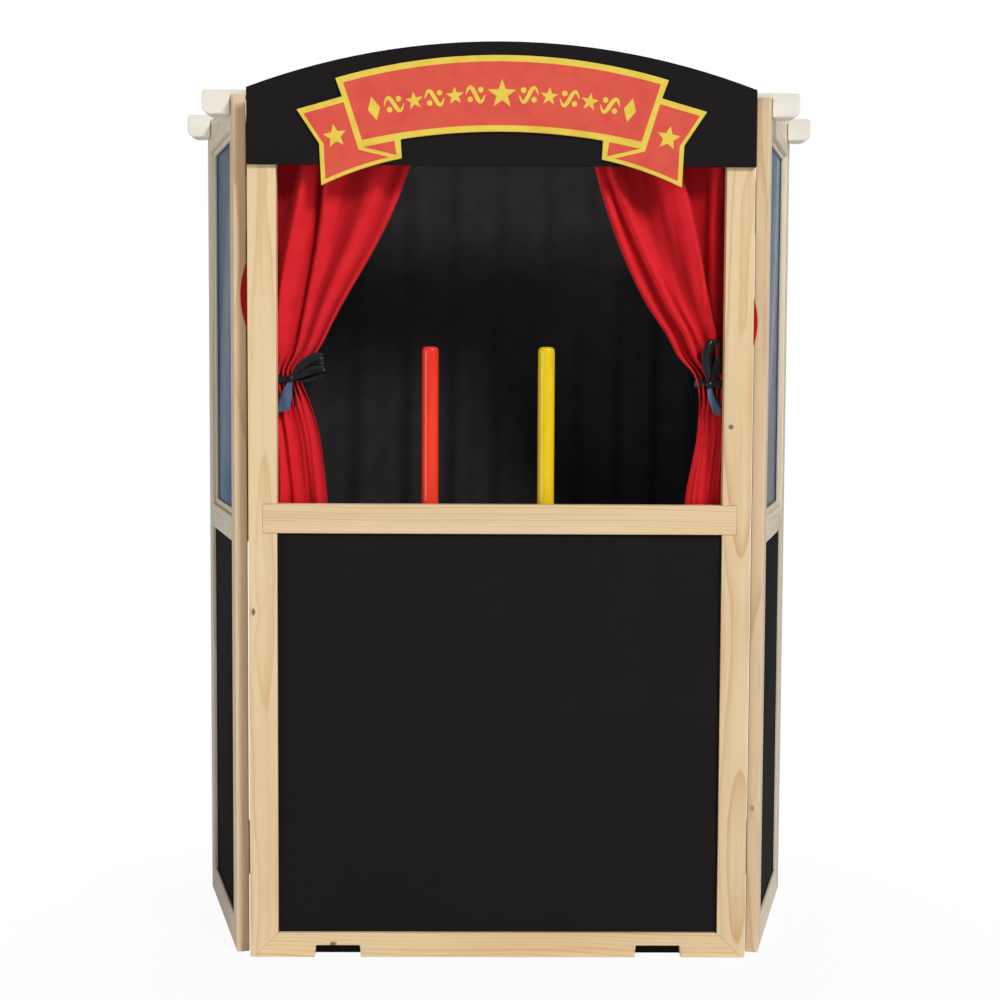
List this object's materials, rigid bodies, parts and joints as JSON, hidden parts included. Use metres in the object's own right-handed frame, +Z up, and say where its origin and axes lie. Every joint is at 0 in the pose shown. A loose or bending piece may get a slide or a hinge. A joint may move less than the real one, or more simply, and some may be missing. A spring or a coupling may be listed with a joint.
{
  "type": "puppet theater stand",
  "caption": "Floor-standing children's puppet theater: pine front frame, arched header with ribbon banner, curtains, folding side wings, cross bars, backdrop and puppet posts.",
  "frame": {"origin": "on the floor, under the middle of the front frame's width and thickness", "axes": "+X to the audience's right, +Y back from the stage towards the puppeteer, +Z up"},
  "size_m": [0.958, 0.3723, 1.278],
  "materials": {
    "pine": "planed pine under a clear satin varnish, with grain and small knots",
    "pale_wood": "pale sanded softwood, whitened, with soft rounded edges",
    "black_board": "thin board painted matte black",
    "banner_paint": "thin board painted flat red with a yellow border",
    "red_paint": "dowel in glossy red enamel",
    "yellow_paint": "dowel in glossy yellow enamel",
    "zinc_steel": "zinc-plated steel",
    "clear_pane": "clear acrylic sheet with a cool blue-grey cast",
    "red_cloth": "soft red curtain cloth with a low sheen",
    "black_cloth": "matte black cloth",
    "black_satin": "black satin ribbon with blue-grey highlights"
  },
  "bodies": {
    "front_frame": {"left_stile": "pine", "right_stile": "pine", "bottom_rail": "pine", "sill_rail": "pine", "top_rail": "pine", "header_board": "black_board", "banner_board": "banner_paint", "lower_panel": "black_board", "panel_bead": "pine", "skirting_strip": "black_board", "post_rail": "pine", "left_rod_block": "pine", "right_rod_block": "pine", "curtain_rod": "pine", "left_tie": "black_satin", "left_tie_hook": "zinc_steel", "left_curtain": "red_cloth", "right_tie": "black_satin", "right_tie_hook": "zinc_steel", "right_curtain": "red_cloth", "left_lower_hinge_leaf": "zinc_steel", "left_lower_hinge_pin": "zinc_steel", "left_upper_hinge_leaf": "zinc_steel", "left_upper_hinge_pin": "zinc_steel", "right_lower_hinge_leaf": "zinc_steel", "right_lower_hinge_pin": "zinc_steel", "right_upper_hinge_leaf": "zinc_steel", "right_upper_hinge_pin": "zinc_steel"},
    "left_wing": {"left_wing_front_stile": "pale_wood", "left_wing_rear_stile": "pale_wood", "left_wing_top_rail": "pale_wood", "left_wing_middle_rail": "pale_wood", "left_wing_bottom_rail": "pale_wood", "left_wing_lower_panel": "black_board", "left_wing_window": "clear_pane", "left_wing_window_bead": "pale_wood", "left_wing_lower_hinge_leaf": "zinc_steel", "left_wing_upper_hinge_leaf": "zinc_steel"},
    "right_wing": {"right_wing_front_stile": "pale_wood", "right_wing_rear_stile": "pale_wood", "right_wing_top_rail": "pale_wood", "right_wing_middle_rail": "pale_wood", "right_wing_bottom_rail": "pale_wood", "right_wing_lower_panel": "black_board", "right_wing_window": "clear_pane", "right_wing_window_bead": "pale_wood", "right_wing_lower_hinge_leaf": "zinc_steel", "right_wing_upper_hinge_leaf": "zinc_steel"},
    "front_bar": {"front_bar": "pale_wood", "front_bar_left_stop": "pale_wood", "front_bar_right_stop": "pale_wood"},
    "rear_bar": {"rear_bar": "pale_wood", "rear_bar_left_stop": "pale_wood", "rear_bar_right_stop": "pale_wood", "backdrop": "black_cloth"},
    "red_post": {"red_post": "red_paint"},
    "yellow_post": {"yellow_post": "yellow_paint"}
  },
  "joints": [
    {"name": "left_wing_fold", "type": "hinge", "parent": "front_frame", "child": "left_wing", "pos_m": [-0.35, 0.0135, 0], "axis": [0, 0, -1], "range_deg": [0, 94], "deforming": ["left_curtain", "left_tie", "backdrop"]},
    {"name": "right_wing_fold", "type": "hinge", "parent": "front_frame", "child": "right_wing", "pos_m": [0.35, 0.0135, 0], "axis": [0, 0, 1], "range_deg": [0, 94], "deforming": ["right_curtain", "right_tie", "backdrop"]},
    {"name": "front_bar_lift", "type": "slide", "parent": "front_frame", "child": "front_bar", "axis": [0, 0, 1], "range_m": [0, 0.06]},
    {"name": "rear_bar_lift", "type": "slide", "parent": "front_frame", "child": "rear_bar", "axis": [0, 0, 1], "range_m": [0, 0.06]},
    {"name": "red_post_lift", "type": "slide", "parent": "front_frame", "child": "red_post", "axis": [0, 0, 1], "range_m": [0, 0.03]},
    {"name": "yellow_post_lift", "type": "slide", "parent": "front_frame", "child": "yellow_post", "axis": [0, 0, 1], "range_m": [0, 0.03]}
  ]
}
